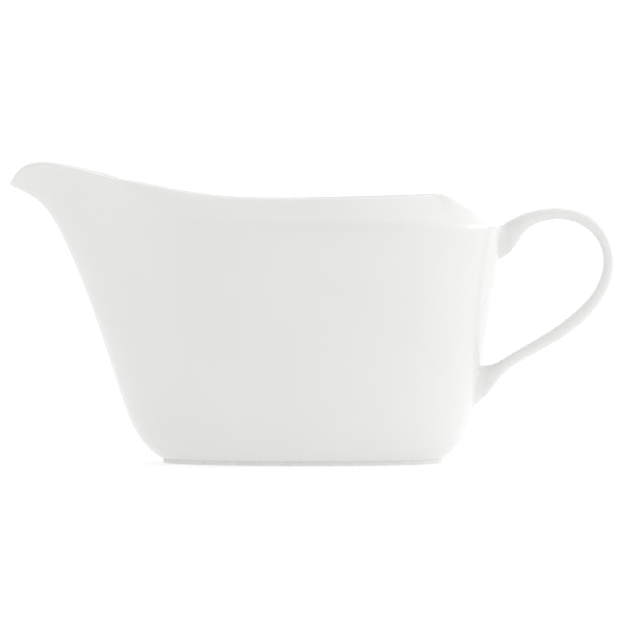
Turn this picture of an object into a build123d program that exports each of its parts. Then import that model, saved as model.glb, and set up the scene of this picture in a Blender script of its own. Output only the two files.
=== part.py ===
from build123d import *
import math
import os

# Porcelain gravy boat: a slip-cast boat-shaped body with a pouring spout, an unglazed
# foot ring, and a separately cast strap handle that is stuck on with slip.
# Frame: +Z up, spout towards -X, handle towards +X, mirror plane at Y = 0.
# The origin is on the surface that the boat stands on, under the middle of its length.

# ---- driving dimensions, in millimetres ----
WALL = 2.4                # thickness of the cast wall and of the rounded rim
FLOOR_THICKNESS = 2.9     # thickness of the flat floor
FOOT_HEIGHT = 1.5         # height of the foot ring below the body
FOOT_WIDTH = 3.4          # breadth of the foot ring's bearing face
FOOT_EDGE = 0.45          # rounding on the foot ring's lower edges

KEEL_REACH = 62.6         # distance of the front wall line from the origin at the table
KEEL_LEAN = 0.30          # how far the front wall leans out per unit of height
KEEL_TOP = 100.0          # height at which the swelling and the flick below are full
KEEL_SWELL = 8.0          # extra reach of the front wall where it swells into the spout
KEEL_SWELL_POWER = 4      # how late that swelling comes in with height
SPOUT_FLICK = 7.3         # final outward flick under the pouring lip
SPOUT_FLICK_POWER = 26    # how late that flick comes in with height
BACK_REACH = 55.5         # distance of the back wall line from the origin at the table
BACK_LEAN = 0.165         # how far the back wall leans out per unit of height
SIDE_REACH = 36.0         # half width of the side wall line at the table
SIDE_LEAN = 0.127         # how far the side wall leans out per unit of height
CORNER_IN = 8.4           # how far the base corner pulls in at the foot
CORNER_HEIGHT = 5.8       # height over which the base corner rounds out

SPOUT_TIP_LEVEL = 100.6        # height of the rim's outer edge at the pouring lip
BACK_TIP_LEVEL = 85.4          # and at the back, under the handle's top end
PLAN_FULLNESS = 0.05           # how much fuller the plan's corners are than an ellipse's
SPOUT_DRAW_POWER = 3           # how sharply the spout is drawn out of the plan's front
SPOUT_NARROWING = 0.8          # how strongly the plan slims towards the spout
LIP_FLARE = 0.5                # how far the pouring lip opens out again
LIP_FLARE_POWER = 8            # how close to the lip that opening stays
SIDE_LEAN_IN = 8.5             # how far the collar leans the rim in from the side wall
QUARTER_LEAN_IN = 12.0         # the same at the back quarters, where the rim runs straight
BACK_LEAN_IN = 1.2             # the same at the back, under the handle's top end
QUARTER_AT = 0.16              # where the back quarters' lean is full, 0 back to 1 spout
SIDE_AT = 0.52                 # where the side's lean is reached
LEAN_FADE_FROM = 0.5           # where the lean starts to fade towards the spout
LEAN_FADE_TO = 0.9             # where it has faded out
BELLY_FRONT_FOOT = 58.0        # reach of the belly without its spout, at the table
BELLY_FRONT_LEAN = 0.13        # lean of that belly line

RIM_LEVEL = 95.95         # height of the rim's outer edge at its lowest point
RIM_LOW_X = -26.0         # where along X the rim is lowest
RIM_BACK_RISE = 0.000315  # slow rise of the rim towards the back, per square millimetre
SPOUT_SLOPE = 0.22        # slope of the rim where it climbs to the spout
SPOUT_RISE_X = -38.0      # where that climb starts
SPOUT_RISE_BLEND = 8.0    # length over which the climb comes in
LIP_DROP = 11.2           # how far the pouring lip falls below the line of the climb
LIP_DROP_LENGTH = 4.9     # length over which it falls
BACK_FALL_X = 48.0        # where the rim turns down towards the handle
BACK_FALL_LEVEL = 97.7    # height of the rim there
BACK_FALL_SLOPE = 0.61    # slope of the rim there
BACK_FALL_BLEND = 0.45    # softness of that corner

CREASE_LEVEL = 86.9       # height of the shoulder crease
CREASE_RISE = 9.2         # climb of the crease where it runs up into the spout
CREASE_RISE_X = -58.1     # where it has climbed by that much
CREASE_RISE_LENGTH = 6.3  # length over which it climbs
CREASE_CLIMB_LIMIT = 60.0 # upper bound of that climb, above every rim
CREASE_MERGE = 0.5        # softness with which the crease runs into the spout's rim
CREASE_PLAN_LEVEL = 0.9   # level of the plan that the crease's climb is measured along
LIP_BAND = 1.5            # least height of the band between crease line and rim
CREASE_ROUND = 2.4        # length of the crease's rounding on each side
CREASE_ROUND_SHARE = 0.42 # most of the collar's height that the rounding takes
FLOOR_ROUND = 2.2         # how far the inner floor corner is pulled in
FOOT_INSET = 0.3          # how far the foot ring stands in from the body's edge

STRAP_HALF_WIDTH = 5.2    # half width of the handle's strap, across the boat
END_HALF_WIDTH = 6.0      # half width of the flared ends of the strap
SLIP_SPREAD = 0.9         # how far a slip fillet spreads past the handle's end
SLIP_GAP = 0.015          # hair's breadth left between a slip fillet and the wall, in X and Z
STRAP_FULLNESS = 3.0      # exponent of the strap's rounded section; 2 is an ellipse
END_FLARE = 0.07          # share of the strap's length over which its ends flare

# Cuts across the strap from its top end to its bottom end. Each gives the outer edge and
# the inner edge of the loop, as distances along X and up.
STRAP_CUTS = (
    ((70.4, 87.9), (69.0, 74.6)),
    ((72.3, 88.8), (72.7, 77.4)),
    ((75.6, 90.5), (76.6, 83.2)),
    ((81.6, 92.3), (82.0, 87.2)),
    ((90.0, 93.0), (90.2, 88.5)),
    ((99.3, 90.9), (97.3, 86.6)),
    ((106.6, 84.5), (102.9, 81.9)),
    ((110.0, 74.1), (105.6, 74.1)),
    ((107.8, 63.5), (103.4, 65.0)),
    ((101.2, 53.9), (98.2, 57.8)),
    ((89.2, 44.4), (87.0, 48.8)),
    ((77.5, 37.9), (75.3, 41.8)),
    ((69.6, 32.2), (68.2, 37.5)),
    ((64.6, 25.9), (65.0, 36.0)),
    ((60.4, 22.0), (62.8, 35.7)),
)
UPPER_ROOT = ((68.1, 87.0), (66.7, 74.0))    # cut just inside the wall, under the rim
LOWER_ROOT = ((58.0, 21.6), (60.4, 35.9))    # cut just inside the wall, low down

RING_POINTS = 44          # points in each closed ring of the body
STRAP_POINTS = 24         # points in each section of the strap
RIM_STEPS = 6             # rings across the half-round rim
ANGLE_STEP = 0.01         # step in angle that the plan's normal is taken over
PLACE_STEP = 0.004        # step in angle and level that a surface normal is taken over
CREASE_STEP = 0.03        # step in level that the wall's slope at the crease is taken over
WALL_LEVELS = (0.0, 0.025, 0.06, 0.11, 0.18, 0.3, 0.45, 0.6, 0.74, 0.85, 0.93)
BASE_CORNER_LEVEL = 0.18  # wall level where the base corner's own surface ends
CREASE_SHARES = (0.0, 0.25, 0.5, 0.75, 1.0)
COLLAR_SHARES = (0.5,)
INNER_COLLAR_SHARES = (0.5, 0.15)
INNER_LEVELS = (0.985, 0.93, 0.85, 0.74, 0.6, 0.45, 0.3, 0.18, 0.11, 0.075)
INNER_CORNER_LEVEL = 0.18 # the same inside, above the floor's corner


def add(a, b, scale=1.0):
    return tuple(p + scale * q for p, q in zip(a, b))


def minus(a, b):
    return tuple(p - q for p, q in zip(a, b))


def length(a):
    return math.sqrt(sum(p * p for p in a))


def unit(a):
    size = length(a)
    return tuple(p / size for p in a)


def cross(a, b):
    return (
        a[1] * b[2] - a[2] * b[1],
        a[2] * b[0] - a[0] * b[2],
        a[0] * b[1] - a[1] * b[0],
    )


def soft_step(value, blend):
    """A ramp that is 0 for negative values and the value itself for large ones."""
    return blend * math.log1p(math.exp(value / blend))


def soft_min(a, b, blend):
    """The smaller of two heights, with a rounded corner where they cross."""
    return min(a, b) - blend * math.log1p(math.exp(-abs(a - b) / blend))


# ---- wall lines: where the outer wall is at a given height ----
def corner(height):
    return CORNER_IN * math.exp(-(height - FOOT_HEIGHT) / CORNER_HEIGHT)


def keel_x(height):
    share = height / KEEL_TOP
    swell = KEEL_SWELL * share ** KEEL_SWELL_POWER
    flick = SPOUT_FLICK * share ** SPOUT_FLICK_POWER
    return -(KEEL_REACH + KEEL_LEAN * height - corner(height) + swell + flick)


def back_x(height):
    return BACK_REACH + BACK_LEAN * height - corner(height)


def side_y(height):
    return SIDE_REACH + SIDE_LEAN * height - corner(height)


# ---- closed plans: angle 0 is at the handle, pi at the spout ----
def forward(angle):
    """0 at the handle, rising to 1 at the spout."""
    return (1 - math.cos(angle)) / 2


def plan(angle, back, belly, tip, half_width, level):
    """Point of an egg-shaped plan whose front is drawn out into a spout higher up."""
    c = math.cos(angle)
    s = math.sin(angle)
    f = forward(angle)
    middle = (back + belly) / 2
    reach = (back - belly) / 2
    drawn_out = (tip - belly) * f ** SPOUT_DRAW_POWER
    slimming = 1 - level * (SPOUT_NARROWING * f ** 2 - LIP_FLARE * f ** LIP_FLARE_POWER)
    x = middle + reach * c * (1 + PLAN_FULLNESS * s * s) + drawn_out
    y = half_width * s * (1 + PLAN_FULLNESS * c * c) * slimming
    return x, y


def gentle(share):
    """A step from 0 to 1 with no kink at either end."""
    u = min(max(share, 0.0), 1.0)
    return u ** 3 * (6 * u ** 2 - 15 * u + 10)


def wall_plan(angle, level):
    """Plan position of the outer wall at a level: 0 at the foot, 1 at the rim's height."""
    front = FOOT_HEIGHT + level * (SPOUT_TIP_LEVEL - FOOT_HEIGHT)
    back = FOOT_HEIGHT + level * (BACK_TIP_LEVEL - FOOT_HEIGHT)
    side = FOOT_HEIGHT + level * (RIM_LEVEL - FOOT_HEIGHT)
    tip = keel_x(front)
    belly = max(tip, -(BELLY_FRONT_FOOT + BELLY_FRONT_LEAN * side) + corner(side))
    return plan(angle, back_x(back), belly, tip, side_y(side), level)


def lean_in(f):
    """How far the collar leans the rim in, at a place from 0 at the handle to 1 at the spout."""
    to_quarter = gentle(f / QUARTER_AT)
    to_side = gentle((f - QUARTER_AT) / (SIDE_AT - QUARTER_AT))
    faded = gentle((f - LEAN_FADE_FROM) / (LEAN_FADE_TO - LEAN_FADE_FROM))
    lean = BACK_LEAN_IN + (QUARTER_LEAN_IN - BACK_LEAN_IN) * to_quarter
    return (lean - (QUARTER_LEAN_IN - SIDE_LEAN_IN) * to_side) * (1 - faded)


def rim_plan(angle):
    """Plan position of the rim's outer edge: the collar leans it in from the wall's line."""
    x, y = wall_plan(angle, 1.0)
    ahead = wall_plan(angle + ANGLE_STEP, 1.0)
    behind = wall_plan(angle - ANGLE_STEP, 1.0)
    run = math.hypot(ahead[0] - behind[0], ahead[1] - behind[1])
    normal = ((ahead[1] - behind[1]) / run, -(ahead[0] - behind[0]) / run)
    lean = lean_in(forward(angle))
    return x - lean * normal[0], y - lean * normal[1]


def rim_height(angle):
    """Height of the rim's outer edge, drawn over its place along the boat."""
    x = rim_plan(angle)[0]
    climb = SPOUT_SLOPE * soft_step(SPOUT_RISE_X - x, SPOUT_RISE_BLEND)
    slow_rise = RIM_BACK_RISE * max(x - RIM_LOW_X, 0.0) ** 2
    drop = LIP_DROP * math.exp(-(x - rim_plan(math.pi)[0]) / LIP_DROP_LENGTH)
    along = RIM_LEVEL + climb + slow_rise - drop
    fall = BACK_FALL_LEVEL - BACK_FALL_SLOPE * (x - BACK_FALL_X)
    return soft_min(along, fall, BACK_FALL_BLEND)


def crease_level(angle):
    """Level of the shoulder crease, as a share of the rim's height above the foot."""
    x = wall_plan(angle, CREASE_PLAN_LEVEL)[0]
    climb = CREASE_RISE * math.exp(-(x - CREASE_RISE_X) / CREASE_RISE_LENGTH)
    line = CREASE_LEVEL + min(climb, CREASE_CLIMB_LIMIT)
    top = rim_height(angle)
    height = soft_min(line, top - LIP_BAND, CREASE_MERGE)
    return (height - FOOT_HEIGHT) / (top - FOOT_HEIGHT)


def wall_point(angle, level):
    """Point of the outer wall, drawn as if it ran straight up to the rim's height."""
    x, y = wall_plan(angle, level)
    return x, y, FOOT_HEIGHT + level * (rim_height(angle) - FOOT_HEIGHT)


def rim_edge(angle):
    """Point on the outer edge of the rim."""
    x, y = rim_plan(angle)
    return x, y, rim_height(angle)


# ---- the profile of the shell at one angle ----
def shoulder(angle):
    """Crease point, rim edge, directions of wall and collar, and the rounding length."""
    crease_at = crease_level(angle)
    crease = wall_point(angle, crease_at)
    edge = rim_edge(angle)
    below = wall_point(angle, crease_at - CREASE_STEP)
    collar = minus(edge, crease)
    rounding = min(CREASE_ROUND, CREASE_ROUND_SHARE * length(collar))
    return crease, edge, unit(minus(crease, below)), unit(collar), rounding


def rounded_crease(angle, share):
    """Point on the crease's rounding, from share 0 on the wall to 1 on the collar."""
    crease, _, up_wall, up_collar, rounding = shoulder(angle)
    start = add(crease, up_wall, -rounding)
    end = add(crease, up_collar, rounding)
    first = add(start, minus(crease, start), share)
    second = add(crease, minus(end, crease), share)
    return add(first, minus(second, first), share)


def below_crease(angle, share):
    """Point on the wall, from share 0 at the foot to 1 on the crease line."""
    return wall_point(angle, share * crease_level(angle))


def collar_point(angle, share):
    """Point on the collar, from share 0 at the crease's rounding to 1 at the rim."""
    start = rounded_crease(angle, 1.0)
    return add(start, minus(rim_edge(angle), start), share)


def outward(surface, angle, place):
    """Outward unit normal of a surface given as a function of angle and place."""
    around = minus(surface(angle + PLACE_STEP, place), surface(angle - PLACE_STEP, place))
    upward = minus(surface(angle, place + PLACE_STEP), surface(angle, place - PLACE_STEP))
    return unit(cross(around, upward))


def inside(surface, angle, place):
    """Point on the inner face, one wall thickness in from the outer face."""
    return add(surface(angle, place), outward(surface, angle, place), -WALL)


def rim_round(angle, turn):
    """Point on the half-round rim; turn 0 is its outer edge and pi its inner edge."""
    normal = outward(collar_point, angle, 1.0)
    edge = rim_edge(angle)
    up = unit(minus(edge, rounded_crease(angle, 1.0)))
    centre = add(edge, normal, -WALL / 2)
    swung = add(centre, normal, math.cos(turn) * WALL / 2)
    return add(swung, up, math.sin(turn) * WALL / 2)


def floor_point(angle, inset, height):
    """Point of the foot's plan, pulled in by an inset and set at a height."""
    normal = outward(lambda a, h: wall_point(a, 0)[:2] + (h,), angle, 0.0)
    x, y, _ = wall_point(angle, 0.0)
    return x - inset * normal[0], y - inset * normal[1], height


# ---- solids ----
def closed_curve(points):
    """Smooth closed curve through points, evenly spaced along it so that stacked curves match."""
    places = [i / len(points) for i in range(len(points) + 1)]
    return Wire([Edge.make_spline(points, periodic=True, parameters=places)])


def ring(point_at):
    """Closed smooth ring through a function's points, with its seam at the spout."""
    angles = [math.pi + 2 * math.pi * i / RING_POINTS for i in range(RING_POINTS)]
    return closed_curve([Vector(*point_at(angle)) for angle in angles])


def skin(rings):
    """Faces of the smooth surface that runs through closed rings."""
    return Shell.make_loft(rings).faces()


def make_body():
    wall = [ring(lambda a, v=v: below_crease(a, v)) for v in WALL_LEVELS]
    crease = [ring(lambda a, v=v: rounded_crease(a, v)) for v in CREASE_SHARES]
    collar = [ring(lambda a, v=v: collar_point(a, v)) for v in COLLAR_SHARES]
    turns = [math.pi * step / RIM_STEPS for step in range(RIM_STEPS + 1)]
    rim = [ring(lambda a, turn=turn: rim_round(a, turn)) for turn in turns]
    inner_collar = [ring(lambda a, v=v: inside(collar_point, a, v)) for v in INNER_COLLAR_SHARES]
    inner_crease = ring(lambda a: inside(rounded_crease, a, 0.5))
    inner_wall = [ring(lambda a, v=v: inside(below_crease, a, v)) for v in INNER_LEVELS]
    floor = ring(lambda a: floor_point(a, FLOOR_ROUND, FOOT_HEIGHT + FLOOR_THICKNESS))
    corner_start = INNER_LEVELS.index(INNER_CORNER_LEVEL)
    base = WALL_LEVELS.index(BASE_CORNER_LEVEL)
    faces = [Face(wall[0]), Face(floor)]
    faces += skin(wall[:base + 1])
    faces += skin(wall[base:] + crease[:1])
    faces += skin(crease)
    faces += skin([crease[-1]] + collar + rim[:1])
    faces += skin(rim)
    faces += skin([rim[-1]] + inner_collar + [inner_crease])
    faces += skin([inner_crease] + inner_wall[:corner_start + 1])
    faces += skin(inner_wall[corner_start:] + [floor])
    return Solid(Shell(faces))


def make_foot_ring():
    outer = ring(lambda a: floor_point(a, FOOT_INSET, 0.0))
    inner = ring(lambda a: floor_point(a, FOOT_INSET + FOOT_WIDTH, 0.0))
    foot = extrude(Face(outer, [inner]), FOOT_HEIGHT)
    lower_edges = foot.edges().group_by(Axis.Z)[0]
    return fillet(lower_edges, FOOT_EDGE)


def strap_section(cut, half_width, spread=0.0):
    """Closed rounded section of the strap across one cut, grown by a spread."""
    (outer_x, outer_z), (inner_x, inner_z) = cut
    centre = Vector((outer_x + inner_x) / 2, 0, (outer_z + inner_z) / 2)
    across = Vector(outer_x - inner_x, 0, outer_z - inner_z)
    half_thickness = across.length / 2 + spread
    points = []
    for i in range(STRAP_POINTS):
        angle = 2 * math.pi * i / STRAP_POINTS
        c = math.cos(angle)
        s = math.sin(angle)
        size = (abs(c) ** STRAP_FULLNESS + abs(s) ** STRAP_FULLNESS) ** (-1 / STRAP_FULLNESS)
        sideways = Vector(0, (half_width + spread) * s * size, 0)
        points.append(centre + across.normalized() * (half_thickness * c * size) + sideways)
    return closed_curve(points)


def strap_half_width(share):
    """Half width along the strap; share runs from 0 at the top end to 1 at the bottom end."""
    flare = math.exp(-share / END_FLARE) + math.exp(-(1 - share) / END_FLARE)
    return STRAP_HALF_WIDTH + (END_HALF_WIDTH - STRAP_HALF_WIDTH) * flare


def make_handle():
    last = len(STRAP_CUTS) - 1
    sections = [strap_section(cut, strap_half_width(i / last)) for i, cut in enumerate(STRAP_CUTS)]
    return Solid.make_loft(sections)


def make_slip_fillet(handle_end, root, body):
    """Slip between one end of the handle and the wall, flared out where it meets the wall."""
    end_section = strap_section(handle_end, strap_half_width(0))
    root_section = strap_section(root, strap_half_width(0), SLIP_SPREAD)
    wall = body.moved(Location((SLIP_GAP, 0, SLIP_GAP)))
    return Solid.make_loft([end_section, root_section]) - wall


def export(name, shape):
    export_step(shape, os.path.join("parts", name + ".step"))


os.makedirs("parts", exist_ok=True)
boat_body = make_body()
export("boat_body", boat_body)
export("foot_ring", make_foot_ring())
export("handle", make_handle())
export("upper_handle_joint", make_slip_fillet(STRAP_CUTS[0], UPPER_ROOT, boat_body))
export("lower_handle_joint", make_slip_fillet(STRAP_CUTS[-1], LOWER_ROOT, boat_body))
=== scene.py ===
import math

import bpy
import numpy as np
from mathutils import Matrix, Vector
from mathutils.bvhtree import BVHTree


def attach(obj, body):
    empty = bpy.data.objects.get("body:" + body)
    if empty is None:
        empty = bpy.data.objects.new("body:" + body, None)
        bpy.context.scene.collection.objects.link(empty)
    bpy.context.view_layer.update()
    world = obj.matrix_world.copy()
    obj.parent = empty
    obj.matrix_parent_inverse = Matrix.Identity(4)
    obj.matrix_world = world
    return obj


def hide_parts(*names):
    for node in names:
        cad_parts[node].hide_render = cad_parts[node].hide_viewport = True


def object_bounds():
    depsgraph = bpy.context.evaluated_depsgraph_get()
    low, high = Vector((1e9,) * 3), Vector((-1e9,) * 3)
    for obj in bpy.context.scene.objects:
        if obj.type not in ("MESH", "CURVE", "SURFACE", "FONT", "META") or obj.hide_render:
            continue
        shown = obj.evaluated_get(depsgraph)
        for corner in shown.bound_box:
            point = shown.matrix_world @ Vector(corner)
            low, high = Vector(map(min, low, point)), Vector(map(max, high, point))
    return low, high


# The looks of a white porcelain gravy boat: glazed body, bare foot ring, strap handle and
# the slip fillets at its ends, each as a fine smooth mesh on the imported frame.
# Shapes are worked out in millimetres, as the boat was designed, and stored in metres.

SNUG = 0.9995             # the looks are a hair smaller than the solids, to stay inside them
MM = 0.001 * SNUG

# ---- the boat's own dimensions, in millimetres ----
WALL = 2.4                # thickness of the cast wall and of the rounded rim
FLOOR_THICKNESS = 2.9
FOOT_HEIGHT = 1.5
FOOT_WIDTH = 3.4
FOOT_INSET = 0.3
FOOT_EDGE = 0.45

KEEL_REACH = 62.6         # front wall line: reach at the table, lean, swell and lip flick
KEEL_LEAN = 0.30
KEEL_SWELL = 8.0
KEEL_SWELL_POWER = 4
SPOUT_FLICK = 7.3
SPOUT_FLICK_POWER = 26
KEEL_TOP = 100            # height at which the swell and the flick are full
BACK_REACH = 55.5         # back wall line
BACK_LEAN = 0.165
SIDE_REACH = 36.0         # side wall line
SIDE_LEAN = 0.127
CORNER_IN = 8.4           # base corner
CORNER_HEIGHT = 5.8

SPOUT_TIP_LEVEL = 100.6   # height of the rim's outer edge at the spout and at the back
BACK_TIP_LEVEL = 85.4
PLAN_FULLNESS = 0.05      # how much fuller than an ellipse the plan's corners are
SPOUT_DRAW_POWER = 3      # how sharply the spout is drawn out of the plan's front
SPOUT_NARROWING = 0.8
LIP_FLARE = 0.5
LIP_FLARE_POWER = 8
SIDE_LEAN_IN = 8.5
QUARTER_LEAN_IN = 12.0
BACK_LEAN_IN = 1.2
QUARTER_AT = 0.16         # where the leans hold, from 0 at the back to 1 at the spout
SIDE_AT = 0.52
LEAN_FADE_FROM = 0.5
LEAN_FADE_TO = 0.9
BELLY_FRONT_FOOT = 58.0
BELLY_FRONT_LEAN = 0.13

RIM_LEVEL = 95.95
RIM_LOW_X = -26.0
RIM_BACK_RISE = 0.000315
SPOUT_SLOPE = 0.22
SPOUT_RISE_X = -38.0
SPOUT_RISE_BLEND = 8.0
LIP_DROP = 11.2
LIP_DROP_LENGTH = 4.9
BACK_FALL_X = 48.0
BACK_FALL_LEVEL = 97.7
BACK_FALL_SLOPE = 0.61
BACK_FALL_BLEND = 0.45

CREASE_LEVEL = 86.9
CREASE_RISE = 9.2
CREASE_RISE_X = -58.1
CREASE_RISE_LENGTH = 6.3
CREASE_CLIMB_LIMIT = 60.0
CREASE_MERGE = 0.5
CREASE_PLAN_LEVEL = 0.9
LIP_BAND = 1.5
CREASE_ROUND = 2.4
CREASE_ROUND_SHARE = 0.42
FLOOR_CORNER_HEIGHT = 2.4 # the inner wall stops this far above the floor
FLOOR_CORNER_IN = 3.4     # and its corner runs in by this much

STRAP_HALF_WIDTH = 5.2
END_HALF_WIDTH = 6.0
STRAP_FULLNESS = 3.0
END_FLARE = 0.07          # share of the strap's length over which its ends flare
SLIP_SPREAD = 0.8         # how far the slip fillets run out along the wall
BEHIND_START = 4.0        # how far outside the wall the search for it starts
BURIED = 0.5              # how far a fillet's last row is sunk into the wall
LONGEST_GAP = 4.0         # longest way from the strap's end to the wall

# Cuts across the strap from its top end to its bottom end: outer edge, inner edge (X, Z).
STRAP_CUTS = (
    ((70.4, 87.9), (69.0, 74.6)),
    ((72.3, 88.8), (72.7, 77.4)),
    ((75.6, 90.5), (76.6, 83.2)),
    ((81.6, 92.3), (82.0, 87.2)),
    ((90.0, 93.0), (90.2, 88.5)),
    ((99.3, 90.9), (97.3, 86.6)),
    ((106.6, 84.5), (102.9, 81.9)),
    ((110.0, 74.1), (105.6, 74.1)),
    ((107.8, 63.5), (103.4, 65.0)),
    ((101.2, 53.9), (98.2, 57.8)),
    ((89.2, 44.4), (87.0, 48.8)),
    ((77.5, 37.9), (75.3, 41.8)),
    ((69.6, 32.2), (68.2, 37.5)),
    ((64.6, 25.9), (65.0, 36.0)),
    ((60.4, 22.0), (62.8, 35.7)),
)

# ---- the stage, in metres ----
FLOOR_HALF = 6.0
CAMERA_DISTANCE = 2.5
CAMERA_HEIGHT = 0.12
SENSOR_WIDTH = 36.0       # in millimetres, like the lens
BOAT_SHARE = 0.9688       # share of the picture's width that the boat takes up
SKY_LEVEL = 1.08          # the studio's all-round brightness
SKY_TILT = (0.25, 0.26, 0.0)   # how it brightens towards the handle and behind the boat
SKY_ENDS = (0.13, 0.0, 0.0)    # extra brightness towards both ends of the boat

SOFTBOX_PLACE = (1.25, 0.1, 0.42)
SOFTBOX_TARGET = (0, 0, 0.08)
SOFTBOX_SIZE = (0.7, 0.45)
SOFTBOX_POWER = 1.5       # in watts
FLOOR_GREY = 0.42         # the floor is grey and gives off light of its own, like a light
FLOOR_GLOW = 0.6          # table, so that it stays white and lights the base near the boat

# ---- materials: each noise is its scale, in waves per metre, and its detail ----
NOISE_LOW = 0.3           # the part of the noise's range that is used
NOISE_HIGH = 0.7
CLOUD_NOISE = (28.0, 3.0)     # faint clouds in the glaze's white
HAZE_NOISE = (60.0, 4.0)      # patches of more and less gloss
RIPPLE_NOISE = (45.0, 1.0)    # slow ripple of the glazed surface
GRAIN_NOISE = (900.0, 6.0)    # colour grain of the bare porcelain
GRIT_NOISE = (2500.0, 3.0)    # its fine ground texture
GLAZE_ROUGHNESS = (0.10, 0.17)
GLAZE_DEPTHS = (0.004, 0.0036, 0.003)   # how far red, green and blue light go in, in metres
# The two colours that each porcelain varies between, linear.
GLAZE_COLOURS = ((0.765, 0.762, 0.75), (0.78, 0.778, 0.768))
BARE_COLOURS = ((0.74, 0.725, 0.69), (0.82, 0.81, 0.785))

# ---- fineness of the meshes ----
SHARP_DEGREES = 50        # an edge that bends more than this is shaded sharp
RING = 288                # vertices round the body
WALL_ROWS = 72            # rows of the wall below the crease
ROW_CROWDING = 1.35       # how much closer together those rows are at the base corner
CREASE_ROWS = 9           # rows of the crease's rounding
COLLAR_ROWS = 8           # rows of the collar above it
INNER_COLLAR_STEP = 3     # the inner face takes every third of those
RIM_ROWS = 15             # rows of the half-round rim
FLOOR_CORNER_ROWS = 9     # rows of the inner floor's corner
FLAT_ROWS = 14            # rows of the floor and of the underside
MIDDLE_SHARE = 0.02       # size of the small flat that closes each of them
FOOT_EDGE_ROWS = 6        # rows of each rounding of the foot ring
FOOT_MIDDLE = 1.0         # height of the foot ring's middle row, in millimetres
ANGLE_STEP = 0.01         # step in angle that the plan's normal is taken over
CREASE_STEP = 0.03        # step in level that the wall's slope is taken over
STRAP_RING = 48           # vertices round the strap
STRAP_STEPS = 10          # rows between two cuts of the strap
FILLET_ROWS = 9           # rows of a slip fillet
SHARED_ROWS = 4           # rows at each end of the strap that its fillet takes over


def unit(v):
    return v / np.linalg.norm(v, axis=-1, keepdims=True)


def soft_step(value, blend):
    return blend * np.logaddexp(0.0, value / blend)


def soft_min(a, b, blend):
    return -blend * np.logaddexp(-a / blend, -b / blend)


def gentle(share):
    u = np.clip(share, 0.0, 1.0)
    return u ** 3 * (6 * u ** 2 - 15 * u + 10)


# ---- wall lines ----
def corner(height):
    return CORNER_IN * np.exp(-(height - FOOT_HEIGHT) / CORNER_HEIGHT)


def keel_x(height):
    swell = KEEL_SWELL * (height / KEEL_TOP) ** KEEL_SWELL_POWER
    flick = SPOUT_FLICK * (height / KEEL_TOP) ** SPOUT_FLICK_POWER
    return -(KEEL_REACH + KEEL_LEAN * height - corner(height) + swell + flick)


def back_x(height):
    return BACK_REACH + BACK_LEAN * height - corner(height)


def side_y(height):
    return SIDE_REACH + SIDE_LEAN * height - corner(height)


# ---- plans: angle 0 is at the handle, pi at the spout ----
def plan(angle, back, belly, tip, half_width, level):
    c, s = np.cos(angle), np.sin(angle)
    f = (1 - c) / 2
    oval = (back + belly) / 2 + (back - belly) / 2 * c * (1 + PLAN_FULLNESS * s * s)
    x = oval + (tip - belly) * f ** SPOUT_DRAW_POWER
    slimming = 1 - level * (SPOUT_NARROWING * f ** 2 - LIP_FLARE * f ** LIP_FLARE_POWER)
    y = half_width * s * (1 + PLAN_FULLNESS * c * c) * slimming
    return x, y


def wall_plan(angle, level):
    front = FOOT_HEIGHT + level * (SPOUT_TIP_LEVEL - FOOT_HEIGHT)
    back = FOOT_HEIGHT + level * (BACK_TIP_LEVEL - FOOT_HEIGHT)
    side = FOOT_HEIGHT + level * (RIM_LEVEL - FOOT_HEIGHT)
    tip = keel_x(front)
    belly = np.maximum(tip, -(BELLY_FRONT_FOOT + BELLY_FRONT_LEAN * side) + corner(side))
    return plan(angle, back_x(back), belly, tip, side_y(side), level)


def rim_plan(angle):
    x, y = wall_plan(angle, 1.0)
    ahead, behind = wall_plan(angle + ANGLE_STEP, 1.0), wall_plan(angle - ANGLE_STEP, 1.0)
    run = np.hypot(ahead[0] - behind[0], ahead[1] - behind[1])
    f = (1 - np.cos(angle)) / 2
    to_side = gentle((f - QUARTER_AT) / (SIDE_AT - QUARTER_AT))
    lean = BACK_LEAN_IN + (QUARTER_LEAN_IN - BACK_LEAN_IN) * gentle(f / QUARTER_AT)
    lean = lean - (QUARTER_LEAN_IN - SIDE_LEAN_IN) * to_side
    lean = lean * (1 - gentle((f - LEAN_FADE_FROM) / (LEAN_FADE_TO - LEAN_FADE_FROM)))
    x = x - lean * (ahead[1] - behind[1]) / run
    y = y + lean * (ahead[0] - behind[0]) / run
    return x, y


def rim_height(angle):
    x = rim_plan(angle)[0]
    tip = rim_plan(np.array([math.pi]))[0]
    climb = SPOUT_SLOPE * soft_step(SPOUT_RISE_X - x, SPOUT_RISE_BLEND)
    slow_rise = RIM_BACK_RISE * np.maximum(x - RIM_LOW_X, 0.0) ** 2
    drop = LIP_DROP * np.exp(-(x - tip) / LIP_DROP_LENGTH)
    along = RIM_LEVEL + climb + slow_rise - drop
    fall = BACK_FALL_LEVEL - BACK_FALL_SLOPE * (x - BACK_FALL_X)
    return soft_min(along, fall, BACK_FALL_BLEND)


def crease_level(angle):
    x = wall_plan(angle, CREASE_PLAN_LEVEL)[0]
    climb = CREASE_RISE * np.exp(-(x - CREASE_RISE_X) / CREASE_RISE_LENGTH)
    line = CREASE_LEVEL + np.minimum(climb, CREASE_CLIMB_LIMIT)
    top = rim_height(angle)
    height = soft_min(line, top - LIP_BAND, CREASE_MERGE)
    return (height - FOOT_HEIGHT) / (top - FOOT_HEIGHT)


def wall_point(angle, level):
    x, y = wall_plan(angle, level)
    height = FOOT_HEIGHT + level * (rim_height(angle) - FOOT_HEIGHT)
    return np.stack([x, y, height], axis=-1)


def rim_edge(angle):
    x, y = rim_plan(angle)
    return np.stack([x, y, rim_height(angle)], axis=-1)


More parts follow.
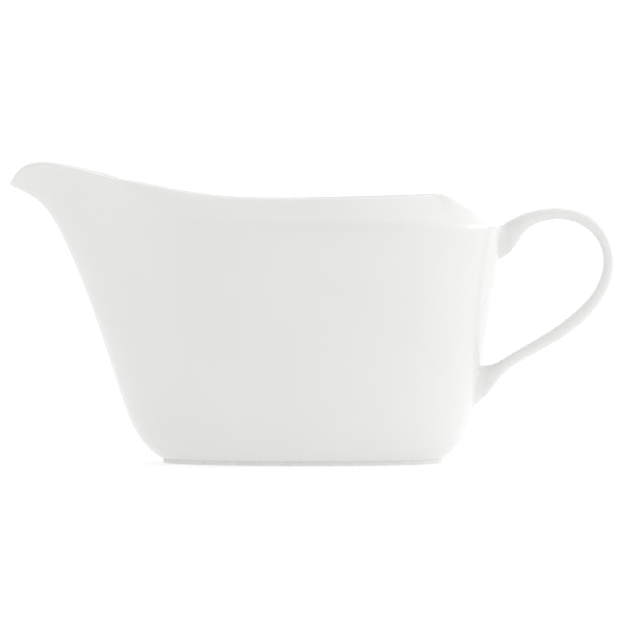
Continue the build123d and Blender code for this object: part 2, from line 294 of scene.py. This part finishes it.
def outer_rows(angle):
    """Rows of the outer face from the foot, over the crease, to the rim's outer edge."""
    level = crease_level(angle)
    crease = wall_point(angle, level)
    edge = rim_edge(angle)
    last_of_wall = crease - wall_point(angle, level - CREASE_STEP)
    collar_length = np.linalg.norm(edge - crease, axis=1)
    rounding = np.minimum(CREASE_ROUND, CREASE_ROUND_SHARE * collar_length)[:, None]
    start = crease - rounding * unit(last_of_wall)
    end = crease + rounding * unit(edge - crease)
    wall_length = np.linalg.norm(last_of_wall, axis=1)
    start_share = 1 - CREASE_STEP * rounding[:, 0] / wall_length / level
    shares = np.linspace(0, 1, WALL_ROWS) ** ROW_CROWDING
    rows = [wall_point(angle, level * start_share * share) for share in shares[:-1]]
    for u in np.linspace(0, 1, CREASE_ROWS):
        rows.append((1 - u) ** 2 * start + 2 * u * (1 - u) * crease + u * u * end)
    for u in np.linspace(0, 1, COLLAR_ROWS + 1)[1:]:
        rows.append(end + u * (edge - end))
    return np.array(rows)


def grid_normals(grid):
    """Outward normals of a closed ring grid, rows going up the outer face."""
    around = np.roll(grid, -1, axis=1) - np.roll(grid, 1, axis=1)
    upward = np.gradient(grid, axis=0)
    return unit(np.cross(around, upward))


def body_rows():
    """Every ring of the body's skin, from the middle of its underside to the middle of its floor."""
    angle = np.arange(RING) * 2 * math.pi / RING
    outer = outer_rows(angle)
    normals = grid_normals(outer)
    edge, edge_normal = outer[-1], normals[-1]
    up = unit(outer[-1] - outer[-3])
    centre = edge - WALL / 2 * edge_normal
    rim = []
    for turn in np.linspace(0, math.pi, RIM_ROWS)[1:-1]:
        rim.append(centre + WALL / 2 * (math.cos(turn) * edge_normal + math.sin(turn) * up))
    offset = outer - WALL * normals
    collar = offset[-COLLAR_ROWS:][::-1][INNER_COLLAR_STEP::INNER_COLLAR_STEP]
    bend = len(outer) - COLLAR_ROWS - CREASE_ROWS // 2 - 1
    inner = np.concatenate([collar, offset[bend:bend + 1], offset[:WALL_ROWS - 1][::-1]])
    floor_height = FOOT_HEIGHT + FLOOR_THICKNESS
    inner = inner[inner[:, :, 2].min(axis=1) > floor_height + FLOOR_CORNER_HEIGHT]
    last = inner[-1]
    rows_in = list(inner)
    middle = np.array([(outer[0][:, 0].max() + outer[0][:, 0].min()) / 2, 0.0, floor_height])
    inward = unit((middle - last) * np.array([1, 1, 0]))
    for turn in np.linspace(0, math.pi / 2, FLOOR_CORNER_ROWS)[1:]:
        drop = (last[:, 2] - floor_height)[:, None]
        slide = FLOOR_CORNER_IN * (1 - math.cos(turn)) * inward
        fall = drop * math.sin(turn) * np.array([0, 0, 1])
        rows_in.append(last + slide - fall)
    rim_of_floor = rows_in[-1]
    for share in np.linspace(1, MIDDLE_SHARE, FLAT_ROWS)[1:]:
        rows_in.append(middle + (rim_of_floor - middle) * share)
    under_middle = np.array([middle[0], 0.0, FOOT_HEIGHT])
    under = []
    for share in np.linspace(MIDDLE_SHARE, 1, FLAT_ROWS)[:-1]:
        under.append(under_middle + (outer[0] - under_middle) * share)
    return np.array(under + list(outer) + rim + rows_in)


def make_object(name, verts, faces):
    mesh = bpy.data.meshes.new(name)
    mesh.from_pydata([tuple(v) for v in np.asarray(verts) * MM], [], faces)
    mesh.validate()
    mesh.shade_smooth()
    mesh.set_sharp_from_angle(angle=math.radians(SHARP_DEGREES))
    made = bpy.data.objects.new(name, mesh)
    bpy.context.scene.collection.objects.link(made)
    return made


def ring_faces(rows, around, closed=False):
    """Quads between neighbouring rings; closed also joins the last ring to the first."""
    faces = []
    for r in range(rows if closed else rows - 1):
        low = r * around
        high = ((r + 1) % rows) * around
        for i in range(around):
            j = (i + 1) % around
            faces.append((low + i, low + j, high + j, high + i))
    return faces


def make_body():
    rows = body_rows()
    count = len(rows)
    faces = ring_faces(count, RING)
    faces.append(tuple(reversed(range(RING))))
    faces.append(tuple(range((count - 1) * RING, count * RING)))
    return make_object("porcelain_body", rows.reshape(-1, 3), faces)


def make_foot():
    """The foot ring: a closed tube that follows the foot's oval plan."""
    angle = np.arange(RING) * 2 * math.pi / RING
    oval = wall_point(angle, 0.0)
    along = np.roll(oval, -1, axis=0) - np.roll(oval, 1, axis=0)
    normal = unit(np.stack([along[:, 1], -along[:, 0], 0 * along[:, 0]], axis=-1))
    section = [(FOOT_INSET, FOOT_HEIGHT), (FOOT_INSET, FOOT_MIDDLE), (FOOT_INSET, FOOT_EDGE)]
    for turn in np.linspace(0, math.pi / 2, FOOT_EDGE_ROWS)[1:]:
        inset = FOOT_INSET + FOOT_EDGE * (1 - math.cos(turn))
        section.append((inset, FOOT_EDGE * (1 - math.sin(turn))))
    far = FOOT_INSET + FOOT_WIDTH
    for turn in np.linspace(math.pi / 2, 0, FOOT_EDGE_ROWS):
        inset = far - FOOT_EDGE * (1 - math.cos(turn))
        section.append((inset, FOOT_EDGE * (1 - math.sin(turn))))
    section += [(far, FOOT_MIDDLE), (far, FOOT_HEIGHT)]
    rows = []
    for inset, height in section:
        row = oval - inset * normal
        row[:, 2] = height
        rows.append(row)
    rows = rows[::-1]
    faces = ring_faces(len(rows), RING, closed=True)
    return make_object("bare_foot", np.array(rows).reshape(-1, 3), faces)


# ---- the strap handle ----
def smooth_through(points, steps):
    """A natural cubic curve through points, with steps rows from each point to the next."""
    points = np.asarray(points, float)
    gaps = np.linalg.norm(np.diff(points, axis=0), axis=1) ** 0.5
    n = len(points)
    matrix = np.zeros((n, n))
    right = np.zeros_like(points)
    matrix[0, 0] = matrix[-1, -1] = 1.0
    for i in range(1, n - 1):
        matrix[i, i - 1:i + 2] = gaps[i - 1], 2 * (gaps[i - 1] + gaps[i]), gaps[i]
        slopes = (points[i + 1] - points[i]) / gaps[i] - (points[i] - points[i - 1]) / gaps[i - 1]
        right[i] = 6 * slopes
    bend = np.linalg.solve(matrix, right)
    out = []
    for i in range(n - 1):
        h = gaps[i]
        for k in range(steps):
            t = h * k / steps
            a, b = h - t, t
            value = (bend[i] * a ** 3 + bend[i + 1] * b ** 3) / (6 * h)
            value += (points[i] / h - bend[i] * h / 6) * a
            value += (points[i + 1] / h - bend[i + 1] * h / 6) * b
            out.append(value)
    out.append(points[-1])
    return np.array(out)


def strap_rows():
    """Closed rounded sections of the strap from its top end to its bottom end."""
    edges = np.array([outer + inner for outer, inner in STRAP_CUTS])
    line = smooth_through(edges, STRAP_STEPS)
    turn = np.arange(STRAP_RING) * 2 * math.pi / STRAP_RING
    c, s = np.cos(turn), np.sin(turn)
    size = (np.abs(c) ** STRAP_FULLNESS + np.abs(s) ** STRAP_FULLNESS) ** (-1 / STRAP_FULLNESS)
    rows = []
    for i, (ox, oz, ix, iz) in enumerate(line):
        share = i / (len(line) - 1)
        flare = math.exp(-share / END_FLARE) + math.exp(-(1 - share) / END_FLARE)
        half_width = STRAP_HALF_WIDTH + (END_HALF_WIDTH - STRAP_HALF_WIDTH) * flare
        centre = np.array([(ox + ix) / 2, 0.0, (oz + iz) / 2])
        across = np.array([(ox - ix) / 2, 0.0, (oz - iz) / 2])
        rows.append(centre + np.outer(c * size, across) + np.outer(s * size, [0, half_width, 0]))
    return np.array(rows)


def make_handle(rows):
    count = len(rows)
    faces = ring_faces(count, STRAP_RING)
    faces.append(tuple(reversed(range(STRAP_RING))))
    faces.append(tuple(range((count - 1) * STRAP_RING, count * STRAP_RING)))
    return make_object("strap_handle", rows.reshape(-1, 3), faces)


def on_wall(body_tree, point):
    """The wall's point behind a point, looking along the boat; the nearest one if none is."""
    start = Vector((point + np.array([BEHIND_START, 0, 0])) * MM)
    reach = (BEHIND_START + LONGEST_GAP) * MM
    hit = body_tree.ray_cast(start, Vector((-1.0, 0.0, 0.0)), reach)[0]
    if hit is None:
        hit = body_tree.find_nearest(Vector(point * MM))[0]
    return np.array(hit) / MM


def along_to_wall(body_tree, point, way):
    """Where a line from a point meets the wall, or the wall's point behind it."""
    hit = body_tree.ray_cast(Vector(point * MM), Vector(way), LONGEST_GAP * MM)[0]
    return np.array(hit) / MM if hit else on_wall(body_tree, point)


def make_slip_fillet(name, strap_end, body_tree):
    """Fillet that carries on from the strap's last rows and curves out onto the wall."""
    end = strap_end[-1]
    onward = unit(end - strap_end[-2])
    touch = np.array([along_to_wall(body_tree, point, way) for point, way in zip(end, onward)])
    outward = unit((touch - touch.mean(axis=0)) * np.array([0, 1, 1]))
    landing = np.array([on_wall(body_tree, point + SLIP_SPREAD * way)
                        for point, way in zip(touch, outward)])
    rows = list(strap_end)
    for u in np.linspace(0, 1, FILLET_ROWS)[1:]:
        rows.append((1 - u) ** 2 * end + 2 * u * (1 - u) * touch + u * u * landing)
    rows.append(rows[-1] - np.array([BURIED, 0, 0]))
    rows = np.array(rows)
    return make_object(name, rows.reshape(-1, 3), ring_faces(len(rows), STRAP_RING))


# ---- materials ----
def noise(nodes, links, coords, scale_and_detail):
    scale, detail = scale_and_detail
    texture = nodes.new("ShaderNodeTexNoise")
    texture.inputs["Scale"].default_value = scale
    texture.inputs["Detail"].default_value = detail
    links.new(coords, texture.inputs["Vector"])
    return texture.outputs["Fac"]


def noise_between(nodes, links, coords, scale_and_detail, low, high):
    ranged = nodes.new("ShaderNodeMapRange")
    ranged.inputs["From Min"].default_value = NOISE_LOW
    ranged.inputs["From Max"].default_value = NOISE_HIGH
    ranged.inputs["To Min"].default_value = low
    ranged.inputs["To Max"].default_value = high
    links.new(noise(nodes, links, coords, scale_and_detail), ranged.inputs["Value"])
    return ranged.outputs["Result"]


def colour_between(nodes, links, value, dark, light):
    mix = nodes.new("ShaderNodeMix")
    mix.data_type = "RGBA"
    mix.inputs["A"].default_value = (*dark, 1)
    mix.inputs["B"].default_value = (*light, 1)
    links.new(value, mix.inputs["Factor"])
    return mix.outputs["Result"]


def glazed_porcelain():
    material = bpy.data.materials.new("glazed_porcelain")
    material.use_nodes = True
    nodes, links = material.node_tree.nodes, material.node_tree.links
    shader = nodes["Principled BSDF"]
    coords = nodes.new("ShaderNodeTexCoord").outputs["Object"]
    cloud = noise_between(nodes, links, coords, CLOUD_NOISE, 0.0, 1.0)
    colour = colour_between(nodes, links, cloud, *GLAZE_COLOURS)
    links.new(colour, shader.inputs["Base Color"])
    haze = noise_between(nodes, links, coords, HAZE_NOISE, *GLAZE_ROUGHNESS)
    links.new(haze, shader.inputs["Roughness"])
    shader.inputs["IOR"].default_value = 1.5
    shader.inputs["Coat Weight"].default_value = 0.35
    shader.inputs["Coat Roughness"].default_value = 0.06
    shader.inputs["Subsurface Weight"].default_value = 0.12
    shader.inputs["Subsurface Radius"].default_value = GLAZE_DEPTHS
    shader.inputs["Subsurface Scale"].default_value = 1.0
    ripple = nodes.new("ShaderNodeBump")
    ripple.inputs["Strength"].default_value = 0.12
    ripple.inputs["Distance"].default_value = 0.0003
    links.new(noise(nodes, links, coords, RIPPLE_NOISE), ripple.inputs["Height"])
    links.new(ripple.outputs["Normal"], shader.inputs["Normal"])
    return material


def bare_porcelain():
    material = bpy.data.materials.new("bare_porcelain")
    material.use_nodes = True
    nodes, links = material.node_tree.nodes, material.node_tree.links
    shader = nodes["Principled BSDF"]
    coords = nodes.new("ShaderNodeTexCoord").outputs["Object"]
    grain = noise_between(nodes, links, coords, GRAIN_NOISE, 0.0, 1.0)
    colour = colour_between(nodes, links, grain, *BARE_COLOURS)
    links.new(colour, shader.inputs["Base Color"])
    shader.inputs["Roughness"].default_value = 0.75
    bump = nodes.new("ShaderNodeBump")
    bump.inputs["Strength"].default_value = 0.35
    bump.inputs["Distance"].default_value = 0.0001
    links.new(noise(nodes, links, coords, GRIT_NOISE), bump.inputs["Height"])
    links.new(bump.outputs["Normal"], shader.inputs["Normal"])
    return material


# ---- stage ----
def make_floor():
    half = FLOOR_HALF
    corners = [(-half, -half, 0), (half, -half, 0), (half, half, 0), (-half, half, 0)]
    mesh = bpy.data.meshes.new("floor")
    mesh.from_pydata(corners, [], [(0, 1, 2, 3)])
    floor = bpy.data.objects.new("floor", mesh)
    bpy.context.scene.collection.objects.link(floor)
    material = bpy.data.materials.new("pale_floor")
    material.use_nodes = True
    shader = material.node_tree.nodes["Principled BSDF"]
    shader.inputs["Base Color"].default_value = (FLOOR_GREY, FLOOR_GREY, FLOOR_GREY, 1)
    shader.inputs["Roughness"].default_value = 0.9
    shader.inputs["Specular IOR Level"].default_value = 0.1
    shader.inputs["Emission Color"].default_value = (1, 1, 1, 1)
    shader.inputs["Emission Strength"].default_value = FLOOR_GLOW
    mesh.materials.append(material)
    return floor


def area_light(name, place, target, width, height, power):
    data = bpy.data.lights.new(name, "AREA")
    data.shape = "RECTANGLE"
    data.size, data.size_y = width, height
    data.energy = power
    light = bpy.data.objects.new(name, data)
    light.location = place
    light.rotation_euler = (Vector(target) - Vector(place)).to_track_quat("-Z", "Y").to_euler()
    bpy.context.scene.collection.objects.link(light)


def studio():
    world = bpy.data.worlds.new("studio")
    world.use_nodes = True
    nodes, links = world.node_tree.nodes, world.node_tree.links
    background = nodes["Background"]
    background.inputs["Color"].default_value = (1, 1, 1, 1)
    direction = nodes.new("ShaderNodeTexCoord").outputs["Generated"]
    tilt = nodes.new("ShaderNodeVectorMath")
    tilt.operation = "DOT_PRODUCT"
    tilt.inputs[1].default_value = SKY_TILT
    links.new(direction, tilt.inputs[0])
    squared = nodes.new("ShaderNodeVectorMath")
    squared.operation = "MULTIPLY"
    links.new(direction, squared.inputs[0])
    links.new(direction, squared.inputs[1])
    ends = nodes.new("ShaderNodeVectorMath")
    ends.operation = "DOT_PRODUCT"
    ends.inputs[1].default_value = SKY_ENDS
    links.new(squared.outputs["Vector"], ends.inputs[0])
    both = nodes.new("ShaderNodeMath")
    both.operation = "ADD"
    links.new(tilt.outputs["Value"], both.inputs[0])
    links.new(ends.outputs["Value"], both.inputs[1])
    level = nodes.new("ShaderNodeMath")
    level.operation = "ADD"
    level.inputs[1].default_value = SKY_LEVEL
    links.new(both.outputs["Value"], level.inputs[0])
    links.new(level.outputs["Value"], background.inputs["Strength"])
    bpy.context.scene.world = world
    area_light("right_softbox", SOFTBOX_PLACE, SOFTBOX_TARGET, *SOFTBOX_SIZE, SOFTBOX_POWER)
    bpy.context.scene.view_settings.view_transform = "Standard"


def make_camera(low, high):
    """Side view, nearly level, from a little above the rim and far across the table."""
    data = bpy.data.cameras.new("camera")
    data.sensor_width = SENSOR_WIDTH
    data.lens = SENSOR_WIDTH * BOAT_SHARE * CAMERA_DISTANCE / (high.x - low.x)
    camera = bpy.data.objects.new("camera", data)
    middle = (low + high) / 2
    camera.location = (middle.x, -CAMERA_DISTANCE, CAMERA_HEIGHT)
    aim = Vector((middle.x, 0, middle.z))
    camera.rotation_euler = (aim - camera.location).to_track_quat("-Z", "Y").to_euler()
    bpy.context.scene.collection.objects.link(camera)
    bpy.context.scene.camera = camera


def finish_piece(piece, node, material):
    piece.data.materials.append(material)
    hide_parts(node)
    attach(piece, "root")


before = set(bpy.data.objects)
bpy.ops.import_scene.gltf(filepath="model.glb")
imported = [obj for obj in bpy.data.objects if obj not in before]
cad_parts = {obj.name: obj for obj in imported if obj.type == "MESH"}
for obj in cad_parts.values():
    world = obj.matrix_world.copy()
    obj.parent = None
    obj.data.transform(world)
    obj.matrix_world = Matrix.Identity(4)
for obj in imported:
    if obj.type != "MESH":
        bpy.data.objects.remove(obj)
cad_low, cad_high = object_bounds()
make_camera(cad_low, cad_high)

glaze = glazed_porcelain()
bare = bare_porcelain()
body = make_body()
body_tree = BVHTree.FromObject(body, bpy.context.evaluated_depsgraph_get())
strap = strap_rows()
finish_piece(body, "boat_body", glaze)
finish_piece(make_foot(), "foot_ring", bare)
middle = strap[SHARED_ROWS:-SHARED_ROWS]
finish_piece(make_handle(middle), "handle", glaze)
upper = make_slip_fillet("upper_slip_fillet", strap[SHARED_ROWS::-1], body_tree)
finish_piece(upper, "upper_handle_joint", glaze)
lower = make_slip_fillet("lower_slip_fillet", strap[-SHARED_ROWS - 1:], body_tree)
finish_piece(lower, "lower_handle_joint", glaze)

floor = make_floor()
studio()
